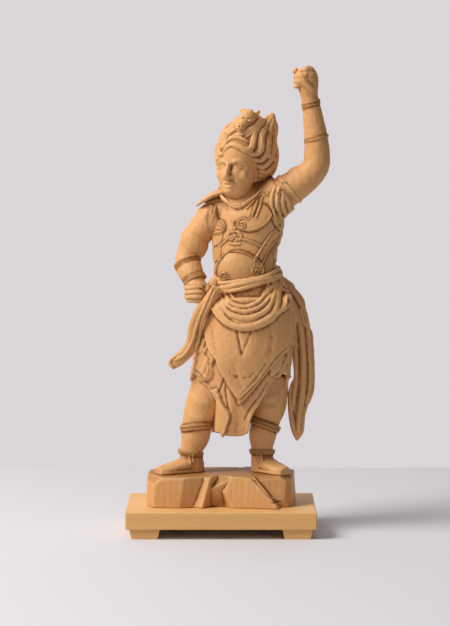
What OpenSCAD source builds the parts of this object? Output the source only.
// Carved wooden guardian figure on a rock, standing on a low plain stand.
// A joined-block carving: every block is a solid of its own, and blocks meet on flat or
// fitted faces with round dowels across the joint. Millimetres, +Z up, the figure faces -Y.

/* [Stand] */
// Width of the stand's board, left to right
board_w = 97; // [85:1:130]
// Depth of the stand's board, front to back
board_d = 64; // [54:1:90]
// Thickness of the board
board_t = 9; // [6:0.5:14]
// Height of the two battens under the board
batten_h = 5; // [3:0.5:10]
// Width of a batten where it meets the board
batten_w = 15.5; // [10:0.5:22]
// How far a batten stands in from the board's end
batten_inset = 2; // [0:0.5:6]
// How much each long side of a batten slopes in towards the floor
batten_slope = 1.2; // [0:0.1:3]
// How far a batten's ends stand in from the board's front and back
batten_setback = 1.6; // [0:0.2:6]
// Chamfer round the board's edges
board_chamfer = 0.5; // [0.1:0.1:2]
// Radius of the bamboo pegs that hold the battens
batten_peg_r = 1.1; // [0.8:0.1:2]

/* [Rock] */
// Width of the carved rock
rock_w = 75.5; // [62:0.5:84]
// Depth of the carved rock
rock_d = 40; // [32:0.5:52]
// Height of the carved rock
rock_h = 16; // [12:0.5:24]
// Radius of the two pegs that locate the rock on the board
locating_r = 2; // [1.5:0.1:3]
// Distance between the two locating pegs
locating_span = 44; // [30:1:50]
// How far a locating peg stands up into the rock
locating_rise = 6; // [3:0.5:9]
// Depth of a locating peg's hole in the board
locating_seat = 6; // [3:0.5:8]

/* [Figure] */
// Height of the figure, from the rock to the top of the raised fist
figure_h = 208.7; // [160:0.1:250]

/* [Joints] */
// Radius of the dowels in the shoulders, elbows and legs
dowel_r = 2; // [1.5:0.1:2.6]
// Half the length of such a dowel
dowel_half = 5.5; // [4:0.5:8]
// Radius of the pins in the wrists, scarves and ornament
pin_r = 1.1; // [0.8:0.1:1.6]
// Half the length of such a pin
pin_half = 3.2; // [2:0.2:5]
// Radius of the round tenon under the head
neck_r = 4.2; // [3:0.1:5]
// Length of the round tenon under the head
neck_len = 12; // [8:0.5:16]
// Radius of the dowel between the torso and the skirt block
waist_r = 5; // [3:0.1:7]
// Half the length of the waist dowel
waist_half = 9; // [6:0.5:12]
// Radius of the pegs that come down through the boots into the rock
foot_r = 2.2; // [1.6:0.1:3]
// How far a foot peg goes down into the rock
foot_drop = 8; // [5:0.5:11]
// Gap all round a glued dowel, tenon or fitted face
glue_gap = 0.05; // [0.02:0.01:0.15]
// Gap round a locating peg, where the rock lifts off
lift_gap = 0.1; // [0.05:0.01:0.3]

/* [Hidden] */

wood = [0.80, 0.59, 0.36];      // the figure
wood_dark = [0.72, 0.50, 0.29]; // the rock and the edges
stand_wood = [0.90, 0.73, 0.49]; // the stand
dowel_wood = [0.86, 0.74, 0.55]; // dowels and pegs

// The figure is drawn for this height and scaled from it.
drawn_h = 208.7;
k = figure_h / drawn_h;
steps = 3;         // rings between two rows of a limb or a loft
limb_sides = 20;
body_sides = 32;

stand_h = batten_h + board_t;
rock_top = stand_h + rock_h;
batten_x = board_w / 2 - batten_inset - batten_w / 2;
batten_len = board_d - 2 * batten_setback;
elbow_reach = 55.6 * k;    // how far the raised elbow stands out to the right
// The frame's origin is under the middle of the whole object, which the elbow overhangs.
frame_x = -(max(elbow_reach, board_w / 2) - board_w / 2) / 2;

// ---- rows of the figure: x, y, z above the rock, half width, half depth --------------------
right_arm_rows = [
    [-1, 4, 133, 8, 8], [-6.5, 4.5, 129, 7.6, 7.6], [-12.8, 5, 121, 7, 7.2],
    [-16.8, 4, 112.5, 6.1, 6.4], [-17.2, 2, 108, 6.2, 6.2], [-15.4, -2, 103.2, 5.9, 5.8],
    [-13.2, -5.5, 98.8, 4.7, 4.6], [-12.6, -7.4, 96.4, 6.1, 5.2], [-12, -9.2, 93.2, 6.8, 5.6],
    [-11.8, -10.4, 90.4, 6, 4.8], [-11.8, -11, 88.8, 3.2, 2.6]
];
// The rows where the arm is glued to the torso and where its blocks are joined, each joint
// hidden by a carved ring: the armlet near the elbow and the bracelet.
right_seat = 1;
right_elbow = 4;
right_wrist = 6;
left_arm_rows = [
    [24, 0, 138, 9, 8.6], [31, 0, 143.4, 8.8, 8.4], [37.5, -0.5, 147.5, 8.1, 7.8],
    [44.2, -1, 152.4, 7.3, 7.2], [48.4, -1, 158, 6.9, 6.9], [49, -1, 164, 6.6, 6.6],
    [48.6, -1, 171.5, 6.1, 6.2], [47.2, -1, 181, 5.3, 5.3], [45.6, -1, 191, 4.4, 4.3],
    [44.4, -1.4, 195, 5.3, 5], [43.2, -2, 200, 6.3, 6.2],
    [41.8, -2.4, 204.4, 5.8, 6], [40.8, -2.4, 207.4, 3.8, 4], [40.5, -2.4, 208.7, 1.8, 2]
];
left_seat = 1;
left_elbow = 6;
left_wrist = 8;
right_leg_rows = [
    [-4, 1, 49, 8.6, 8.8], [-7, 1, 42, 9, 9], [-9.8, 0.8, 34, 8.8, 8.6], [-11.8, 0.5, 27, 8, 8],
    [-12.6, 0.4, 23.5, 7.8, 7.6], [-13.4, 0.4, 18, 7.4, 7.2], [-14.9, 0.6, 13, 6, 6],
    [-15.8, 0.8, 10, 5.7, 5.8]
];
left_leg_rows = [
    [24, 2, 49, 9.6, 9.2], [24.6, 2, 42, 9.8, 9.2], [24.4, 2, 34, 9.2, 8.8], [23.2, 2, 28, 7.8, 7.8],
    [22.4, 2, 24, 7.2, 7.3], [21.4, 2, 18.5, 7.1, 7], [21.2, 2, 13, 5.8, 5.9], [21.2, 2.2, 10, 5.5, 5.6]
];
right_foot_rows = [
    [-10.6, 4.4, 3, 3.2, 3], [-13, 2.6, 3.6, 4.8, 3.6], [-17, -0.2, 4.2, 5.2, 4.2],
    [-23, -4, 3.2, 5.4, 3.2], [-29, -7.7, 2.4, 5, 2.4], [-32.4, -9.8, 2, 3.2, 2]
];
left_foot_rows = [
    [18.2, 5.6, 3, 3.4, 3], [20, 3.6, 3.6, 4.8, 3.6], [23, 0, 4.2, 5.2, 4.2],
    [26.8, -4.6, 3.2, 5.4, 3.2], [30.8, -9.4, 2.4, 5, 2.4], [33, -12, 2, 3.2, 2]
];
right_scarf_rows = [
    [-2, -15.4, 97, 2.2, 1.6], [-5.4, -14.6, 91, 3, 1.8], [-10.2, -12.4, 84, 3.4, 2],
    [-13.4, -9.6, 76, 3.4, 2.2], [-14.6, -7.8, 69, 3.2, 2.2], [-17.4, -7, 63.6, 3, 2],
    [-22, -6.6, 58.8, 3.4, 1.8], [-25.6, -6.4, 55.4, 2, 1.2]
];
left_scarf_rows = [
    [30, 4, 99, 3, 3], [34.5, 5, 93.5, 4, 3], [38.6, 5.5, 84, 4.8, 3.2], [41, 5.5, 72, 5.2, 3.2],
    [42, 5.2, 60, 5.2, 3], [42.6, 4.8, 47, 4.8, 2.8], [40.8, 4, 37, 5, 2.6],
    [39.2, 3.5, 28, 4.4, 2.4], [39, 3, 19, 2.8, 1.8], [39, 3, 16, 1, 0.9]
];
ox_rows = [
    [15.4, -3.4, 185, 2.4, 2.4], [13.4, -5.4, 183, 4, 3.8], [11, -7.8, 179.6, 3.3, 3.2],
    [9.2, -9.6, 176.8, 2.7, 2.6], [8.2, -10.6, 175.4, 1.8, 1.7]
];
skull_rows = [
    [6.2, -5.5, 140.6, 3.4, 3.6], [6.6, -4.6, 143.6, 7.4, 7.6], [7.4, -3, 150, 9.4, 10.6],
    [8.6, -1.5, 158, 10.7, 12], [9.6, -0.5, 166, 11.6, 12.4], [11, 0.5, 171, 9, 10], [12, 1, 174, 4, 4.5]
];
hair_rows = [
    [19, 4.5, 149.5, 4, 5], [18.4, 4.5, 153, 7.6, 9], [17, 4, 162, 11.6, 12.6],
    [12.8, 1.5, 169, 15.6, 14.2], [14.6, 1.5, 176, 11.6, 11], [17, 2, 181.4, 7.4, 7], [18.5, 2, 184.4, 3, 3]
];

// ---- rows of the body: z above the rock, x, y, half width, half depth, turn -----------------
torso_rows = [
    [101, 13.2, 0, 16.6, 13.6, 9], [106, 12.6, 0, 15.9, 13.4, 10], [112, 12.2, 0, 16, 13.2, 12],
    [119, 12.8, 0, 17.2, 13, 16], [127, 14, 0, 18.8, 13.2, 20], [133, 13.8, 0, 18.6, 12.4, 22],
    [138, 12.6, 0.5, 15.5, 10.8, 22], [142, 11.4, 1.5, 11.4, 9.2, 24], [145.5, 11, 2.5, 9, 8, 26]
];
skirt_rows = [
    [101, 13.4, 0, 17.4, 14.2, 9], [99.4, 13.4, 0, 19, 15.6, 9], [96, 13.5, 0, 19.7, 16.2, 8],
    [92.8, 13.6, 0, 19.2, 15.8, 8], [91, 13.8, 0, 19.4, 16, 8], [85, 14, 0, 21.8, 17.6, 8],
    [78, 14, 0, 23, 18.4, 8], [70, 13, 0, 23.8, 18.8, 8], [62, 11.5, 0, 24.4, 18.6, 8],
    [54, 10.5, 0.5, 25, 17.4, 8], [49, 10, 1, 24.6, 16.4, 8]
];
skirt_core_rows = [
    [54, 7, -2, 13, 13, 8], [44, 6.5, -3, 11, 11.5, 8], [34, 5.5, -3.5, 9.8, 10.6, 8],
    [26, 4.8, -4, 9.2, 9.6, 8], [20, 4.4, -4, 9, 8.8, 8]
];
back_drape_rows = [
    [54, 10, 10.5, 25, 5.5, 6], [44, 10, 11.5, 25.8, 4.8, 6], [36, 10.5, 12.2, 25.4, 4, 6],
    [31, 11, 12.5, 22, 3, 6]
];
neck_rows = [[137.5, 9, -1, 6.6, 6.8, 30], [141, 9.2, -1, 6.3, 6.6, 30], [147, 9.6, -0.6, 6.6, 7, 30]];
right_ankle_rows = [[10, -15.8, 0.8, 5.7, 5.8, 0], [5, -15, 1.2, 6, 5.8, 0], [0, -14.4, 1.6, 6.2, 6, 0]];
left_ankle_rows = [[10, 21.2, 2.2, 5.5, 5.6, 0], [5, 21.2, 2, 5.9, 5.8, 0], [0, 21.4, 1.8, 6.2, 6, 0]];

waist_z = 101;  // the flat joint between the torso and the skirt block
hip_z = 49;     // the flat joint between the skirt block and the legs
ankle_z = 10;   // the flat joint between the legs and the boots

// ---- curves and skins -----------------------------------------------------------------------
// A smooth curve through four rows, at t from 0 to 1 between the middle two.
function between(a, b, c, d, t) =
    0.5 * (2 * b + (c - a) * t + (2 * a - 5 * b + 4 * c - d) * t * t + (3 * b - a - 3 * c + d) * t * t * t);
// Rows made finer, with n rings for each span.
function smooth_rows(rows, n = steps) = let (last = len(rows) - 1) concat(
    [for (i = [0:last - 1]) for (s = [0:n - 1])
        between(rows[max(i - 1, 0)], rows[i], rows[i + 1], rows[min(i + 2, last)], s / n)],
    [rows[last]]);
function part_of(list, first, last) = [for (i = [first:last]) list[i]];
function xyz(row) = [row[0], row[1], row[2]];
function unit(v) = v / norm(v);
// The direction of a limb at ring i.
function along(rings, i) =
    unit(xyz(rings[min(i + 1, len(rings) - 1)]) - xyz(rings[max(i - 1, 0)]));
// One ring of a limb, square to its direction; up is the direction that half depth is measured in.
function limb_ring(row, dir, up, grow, sides) =
    let (side = unit(cross(up, dir)), deep = cross(dir, side))
    [for (j = [0:sides - 1]) let (a = 360 * j / sides)
        xyz(row) + (row[3] + grow) * cos(a) * side + (row[4] + grow) * sin(a) * deep];
// One level ring of a body: an oval turned to the figure's right.
function level_ring(row, grow, sides) =
    [for (j = [0:sides - 1]) let (a = 360 * j / sides, c = cos(row[5]), s = sin(row[5]),
        u = (row[3] + grow) * cos(a), v = (row[4] + grow) * sin(a))
        [row[1] + u * c + v * s, row[2] - u * s + v * c, row[0]]];

// A closed skin over rings that run along their own direction.
module skin(rings) {
    sides = len(rings[0]);
    last = len(rings) - 1;
    points = [for (r = rings) for (p = r) p];
    walls = [for (i = [0:last - 1]) for (j = [0:sides - 1])
        let (a = i * sides + j, b = i * sides + (j + 1) % sides) each
        [[a, a + sides, b + sides], [a, b + sides, b]]];
    foot = [for (j = [1:sides - 2]) [0, j, j + 1]];
    top = [for (j = [1:sides - 2]) [last * sides, last * sides + j + 1, last * sides + j]];
    polyhedron(points = points, faces = concat(walls, foot, top), convexity = 6);
}

// A limb between two of its rows; first and last count rows, and grow fattens it all round.
module limb(rows, first = 0, last = -1, up = [0, 1, 0], grow = 0, sides = limb_sides) {
    rings = smooth_rows(rows);
    from = first * steps;
    to = (last < 0 ? len(rows) - 1 : last) * steps;
    scale(k) skin([for (i = [from:to]) limb_ring(rings[i], along(rings, i), up, grow / k, sides)]);
}

// A body of level rings, listed from the top down.
module body(rows, grow = 0, sides = body_sides, n = steps) {
    rings = smooth_rows(rows, n);
    last = len(rings) - 1;
    scale(k) skin([for (i = [0:last]) level_ring(rings[last - i], grow / k, sides)]);
}
module body_up(rows, grow = 0, sides = body_sides, n = steps) {
    rings = smooth_rows(rows, n);
    scale(k) skin([for (r = rings) level_ring(r, grow / k, sides)]);
}

// One solid from several overlapping skins, with others cut away.
module carved() resize([0, 0, 0]) difference() {
    union() children(0);
    for (i = [1:1:$children - 1]) children(i);
}

// Something round across a joint: at row n of a limb, along the limb.
module across(rows, n, r, half, gap = 0) {
    rings = smooth_rows(rows);
    i = n * steps;
    place_along(k * xyz(rings[i]), along(rings, i)) round_pin(r, half, gap);
}
module place_along(at, dir) {
    tilt = acos(dir[2]);
    spin = atan2(dir[1], dir[0]);
    translate(at) rotate([0, tilt, spin]) children();
}
// With a gap it is the hole for that pin, a little longer at both ends too.
module round_pin(r, half, gap = 0)
    cylinder(r = r + gap, h = 2 * (half + 4 * gap), center = true, $fn = 32);
module on_rock() translate([0, 0, rock_top]) children();

// ---- the stand ------------------------------------------------------------------------------
// A rectangle with its corners cut off at 45 degrees.
module cut_rectangle(w, h, c) polygon([
    [-w / 2 + c, -h / 2], [w / 2 - c, -h / 2], [w / 2, -h / 2 + c], [w / 2, h / 2 - c],
    [w / 2 - c, h / 2], [-w / 2 + c, h / 2], [-w / 2, h / 2 - c], [-w / 2, -h / 2 + c]]);
// A block centred on the origin with every edge chamfered.
module chamfered_block(w, d, h, c) intersection() {
    linear_extrude(h, center = true) cut_rectangle(w, d, c);
    rotate([90, 0, 0]) linear_extrude(d, center = true) cut_rectangle(w, h, c);
    rotate([90, 0, 90]) linear_extrude(w, center = true) cut_rectangle(d, h, c);
}

module stand_board() color(stand_wood) difference() {
    translate([0, 0, batten_h + board_t / 2]) chamfered_block(board_w, board_d, board_t, board_chamfer);
    locating_holes(stand_h - locating_seat, stand_h + 1, glue_gap);
    batten_peg_set(glue_gap);
}
module batten(side) color(stand_wood) difference() {
    translate([side * batten_x, batten_len / 2, 0]) rotate([90, 0, 0])
        linear_extrude(batten_len) polygon([
            [-batten_w / 2 + batten_slope, 0], [batten_w / 2 - batten_slope, 0],
            [batten_w / 2, batten_h], [-batten_w / 2, batten_h]]);
    batten_peg_set(glue_gap);
}
// Two pegs in each batten, up into the board.
module batten_peg_set(gap = 0) {
    bite = board_t / 2;
    sink = batten_h / 5;   // the pegs' heads stop short of the floor
    for (side = [-1, 1]) for (end = [-1, 1])
        translate([side * batten_x, end * batten_len * 0.36, sink - (gap > 0 ? 2 * sink : 0)])
            cylinder(r = batten_peg_r + gap, h = batten_h + bite - sink + (gap > 0 ? 2 * sink : 0) + gap, $fn = 24);
}
module batten_pegs() color(dowel_wood) batten_peg_set();
module locating_holes(from, to, gap) {
    for (side = [-1, 1]) translate([side * locating_span / 2, 0, from])
        cylinder(r = locating_r + gap, h = to - from, $fn = 32);
}
module locating_pegs() color(dowel_wood)
    locating_holes(stand_h - locating_seat + glue_gap, stand_h + locating_rise, 0);

// ---- the rock -------------------------------------------------------------------------------
// The outline of the rock seen from above, as shares of its half width and half depth.
rock_plan = [
    [-0.93, -0.86], [-0.62, -1], [-0.24, -0.93], [-0.02, -0.84], [0.1, -0.98], [0.55, -1], [0.9, -0.92],
    [1, -0.4], [0.98, 0.25], [0.84, 0.82], [0.4, 0.96], [-0.15, 1], [-0.6, 0.9], [-0.96, 0.74],
    [-1, 0.1], [-0.99, -0.45]
];
// Each level: share of the height, and spread.
rock_levels = [[0, 0.96], [0.3, 0.985], [0.75, 1], [1, 0.955]];
module rock_solid() {
    rings = [for (level = rock_levels) [for (p = rock_plan)
        [p[0] * level[1] * rock_w / 2, p[1] * level[1] * rock_d / 2, stand_h + level[0] * rock_h]]];
    skin(rings);
}
module rock_base() color(wood_dark) difference() {
    rock_solid();
    locating_holes(stand_h - 1, stand_h + locating_rise + 0.5, lift_gap);
    foot_peg_set(glue_gap);
}

// ---- boots and legs -------------------------------------------------------------------------
right_foot_at = [-15.2, 1.1];
left_foot_at = [21.3, 2];
foot_peg_up = 4;     // how far a foot peg reaches up into its boot
module foot_peg_set(gap = 0) {
    for (at = [right_foot_at, left_foot_at])
        translate([at[0] * k, at[1] * k, rock_top - foot_drop - 4 * gap])
            cylinder(r = foot_r + gap, h = foot_drop + foot_peg_up * k + 8 * gap, $fn = 32);
}
module foot_pegs() color(dowel_wood) foot_peg_set();

module above_rock() on_rock() translate([-200, -200, 0]) cube(400);
module boot(ankle, foot) difference() {
    resize([0, 0, 0]) intersection() {
        on_rock() union() {
            body(ankle, sides = 24);
            limb(foot, up = [0, 0, 1]);
        }
        above_rock();
    }
    foot_peg_set(glue_gap);
    ankle_set(glue_gap);
}
module right_boot() color(wood) boot(right_ankle_rows, right_foot_rows);
module left_boot() color(wood) boot(left_ankle_rows, left_foot_rows);

ankle_pin_half = 4;
module ankle_set(gap = 0) on_rock()
    for (row = [right_ankle_rows[0], left_ankle_rows[0]])
        translate([row[1] * k, row[2] * k, ankle_z * k]) round_pin(pin_r * 1.4, ankle_pin_half, gap);
module ankle_dowels() color(dowel_wood) ankle_set();

// The leg's ends are cut level, to sit flat on the boot and under the skirt.
module leg_solid(rows, grow = 0) on_rock() intersection() {
    limb(rows, grow = grow, up = [0, 1, 0]);
    translate([-200, -200, ankle_z * k]) cube([400, 400, (hip_z - ankle_z) * k]);
}
module leg(rows) difference() {
    resize([0, 0, 0]) leg_solid(rows);
    ankle_set(glue_gap);
    leg_set(glue_gap);
}
module right_leg() color(wood) leg(right_leg_rows);
module left_leg() color(wood) leg(left_leg_rows);
module leg_set(gap = 0) on_rock()
    for (row = [right_leg_rows[0], left_leg_rows[0]])
        translate([row[0] * k, row[1] * k, hip_z * k]) round_pin(dowel_r * 1.2, dowel_half, gap);
module leg_dowels() color(dowel_wood) leg_set();

// ---- the skirt block ------------------------------------------------------------------------
module skirt_block() color(wood) difference() {
    carved() {
        on_rock() union() {
            body(skirt_rows);
            body(skirt_core_rows, sides = 24);
            body(back_drape_rows, sides = 28);
        }
        leg_solid(right_leg_rows, glue_gap);
        leg_solid(left_leg_rows, glue_gap);
        on_rock() limb(right_scarf_rows, grow = glue_gap);
        on_rock() limb(left_scarf_rows, grow = glue_gap);
        on_rock() limb(right_arm_rows, right_wrist, grow = glue_gap);
    }
    leg_set(glue_gap);
    waist_set(glue_gap);
    scarf_set(glue_gap);
}
module waist_set(gap = 0) on_rock()
    translate([torso_rows[0][1] * k, torso_rows[0][2] * k, waist_z * k])
        round_pin(waist_r, waist_half, gap);
module waist_dowel() color(dowel_wood) waist_set();

// ---- the torso ------------------------------------------------------------------------------
// A flat seat on each shoulder, square to the arm, where the upper arm is glued, and the
// hollow in the body's side that the arm lies in.
seat_r = 12;
seat_depth = 5;
module shoulder_cut(rows, seat) {
    rings = smooth_rows(rows);
    i = seat * steps;
    place_along(k * xyz(rings[i]), along(rings, i)) cylinder(r = seat_r * k, h = seat_depth * k, $fn = 40);
    limb(rows, seat, seat + 3, grow = glue_gap);
}
sleeve_rows = [
    [20, 0, 134, 9.4, 9.4], [25, 0, 138.5, 10.6, 10.2], [31, 0, 143.4, 10.4, 9.8]
];
shoulder_rows = [[4, 3, 136, 8, 8.4], [0, 3.6, 133.4, 8.8, 8.8], [-6.5, 4.5, 129, 8.6, 8.4]];
module torso() color(wood) difference() {
    carved() {
        on_rock() union() {
            body_up(torso_rows);
            limb(sleeve_rows);
            limb(shoulder_rows);
        }
        on_rock() shoulder_cut(right_arm_rows, right_seat);
        on_rock() shoulder_cut(left_arm_rows, left_seat);
        on_rock() body_up(neck_rows, grow = glue_gap, sides = 24);
        head_solid(glue_gap);
    }
    waist_set(glue_gap);
    neck_tenon(glue_gap);
    shoulder_set(glue_gap);
}
module neck_tenon(gap = 0) on_rock()
    translate([neck_rows[0][1] * k, neck_rows[0][2] * k, neck_rows[0][0] * k - neck_len - 4 * gap])
        cylinder(r = neck_r + gap, h = neck_len + 4 * gap + 1, $fn = 32);

// ---- the head -------------------------------------------------------------------------------
module head_solid(grow = 0) on_rock() union() {
    limb(skull_rows, grow = grow, sides = 24);
    limb(hair_rows, grow = grow, sides = 24);
}
module head() color(wood) difference() {
    union() {
        carved() {
            union() {
                head_solid();
                on_rock() body_up(neck_rows, sides = 24);
            }
            on_rock() ox_solid(glue_gap);
        }
        neck_tenon();
    }
    on_rock() ornament_set(glue_gap);
}
module ox_solid(grow = 0) union() {
    limb(ox_rows, grow = grow, sides = 16);
    for (ear = [[[16.2, -3.6, 184.4, 1, 0.8], [18, -3.4, 185.8, 1.3, 0.7], [19.4, -3.2, 186.8, 0.4, 0.3]],
                [[11.6, -3.6, 185.4, 1, 0.8], [9.8, -3.2, 186, 1.2, 0.7], [8.6, -3, 186.6, 0.4, 0.3]]])
        limb(ear, grow = grow, sides = 8);
}
module ox_ornament() color(wood) difference() {
    resize([0, 0, 0]) on_rock() ox_solid();
    on_rock() ornament_set(glue_gap);
}
module ornament_set(gap = 0) translate(k * [13.6, -3.6, 180.5]) rotate([-25, 0, 0]) round_pin(pin_r, pin_half, gap);
module ornament_pin() color(dowel_wood) on_rock() ornament_set();

// ---- arms and hands -------------------------------------------------------------------------
module shoulder_set(gap = 0) on_rock() {
    across(right_arm_rows, right_seat, dowel_r, dowel_half, gap);
    across(left_arm_rows, left_seat, dowel_r, dowel_half, gap);
}
module elbow_set(gap = 0) on_rock() {
    across(right_arm_rows, right_elbow, dowel_r, dowel_half, gap);
    across(left_arm_rows, left_elbow, dowel_r, dowel_half, gap);
}
module wrist_set(gap = 0) on_rock() {
    across(right_arm_rows, right_wrist, pin_r, pin_half, gap);
    across(left_arm_rows, left_wrist, pin_r, pin_half, gap);
}
module shoulder_dowels() color(dowel_wood) shoulder_set();
module elbow_dowels() color(dowel_wood) elbow_set();
module wrist_pins() color(dowel_wood) wrist_set();

// The piece of an arm between two of its rows, drilled for whatever crosses its ends.
module arm_piece(rows, first, last) color(wood) difference() {
    on_rock() limb(rows, first, last);
    shoulder_set(glue_gap);
    elbow_set(glue_gap);
    wrist_set(glue_gap);
}
module right_upper_arm() arm_piece(right_arm_rows, right_seat, right_elbow);
module right_forearm() arm_piece(right_arm_rows, right_elbow, right_wrist);
module right_hand() arm_piece(right_arm_rows, right_wrist, len(right_arm_rows) - 1);
module left_upper_arm() arm_piece(left_arm_rows, left_seat, left_elbow);
module left_forearm() arm_piece(left_arm_rows, left_elbow, left_wrist);
module left_hand() arm_piece(left_arm_rows, left_wrist, len(left_arm_rows) - 1);

// ---- the scarves ----------------------------------------------------------------------------
module scarf(rows) color(wood) difference() {
    on_rock() limb(rows);
    scarf_set(glue_gap);
}
module right_scarf() color(wood) difference() {
    resize([0, 0, 0]) difference() {
        on_rock() limb(right_scarf_rows);
        on_rock() limb(right_arm_rows, right_wrist, grow = glue_gap);
    }
    scarf_set(glue_gap);
}
module left_scarf() scarf(left_scarf_rows);
module scarf_set(gap = 0) on_rock() {
    translate(k * [-9.6, -10.6, 84]) rotate([0, 90, 30]) round_pin(pin_r * 0.8, pin_half * 0.8, gap);
    translate(k * [35.6, 5.2, 86]) rotate([0, 90, 0]) round_pin(pin_r, pin_half, gap);
}
module scarf_pins() color(dowel_wood) scarf_set();

// ---- nodes ----------------------------------------------------------------------------------
module placed() translate([frame_x, 0, 0]) children();
placed() stand_board();
placed() batten(-1);  // stand_batten_left
placed() batten(1);  // stand_batten_right
placed() batten_pegs();
placed() locating_pegs();
placed() rock_base();
placed() foot_pegs();
placed() right_boot();
placed() left_boot();
placed() ankle_dowels();
placed() right_leg();
placed() left_leg();
placed() leg_dowels();
placed() skirt_block();
placed() waist_dowel();
placed() torso();
placed() head();
placed() ox_ornament();
placed() ornament_pin();
placed() right_upper_arm();
placed() right_forearm();
placed() right_hand();
placed() left_upper_arm();
placed() left_forearm();
placed() left_hand();
placed() shoulder_dowels();
placed() elbow_dowels();
placed() wrist_pins();
placed() right_scarf();
placed() left_scarf();
placed() scarf_pins();
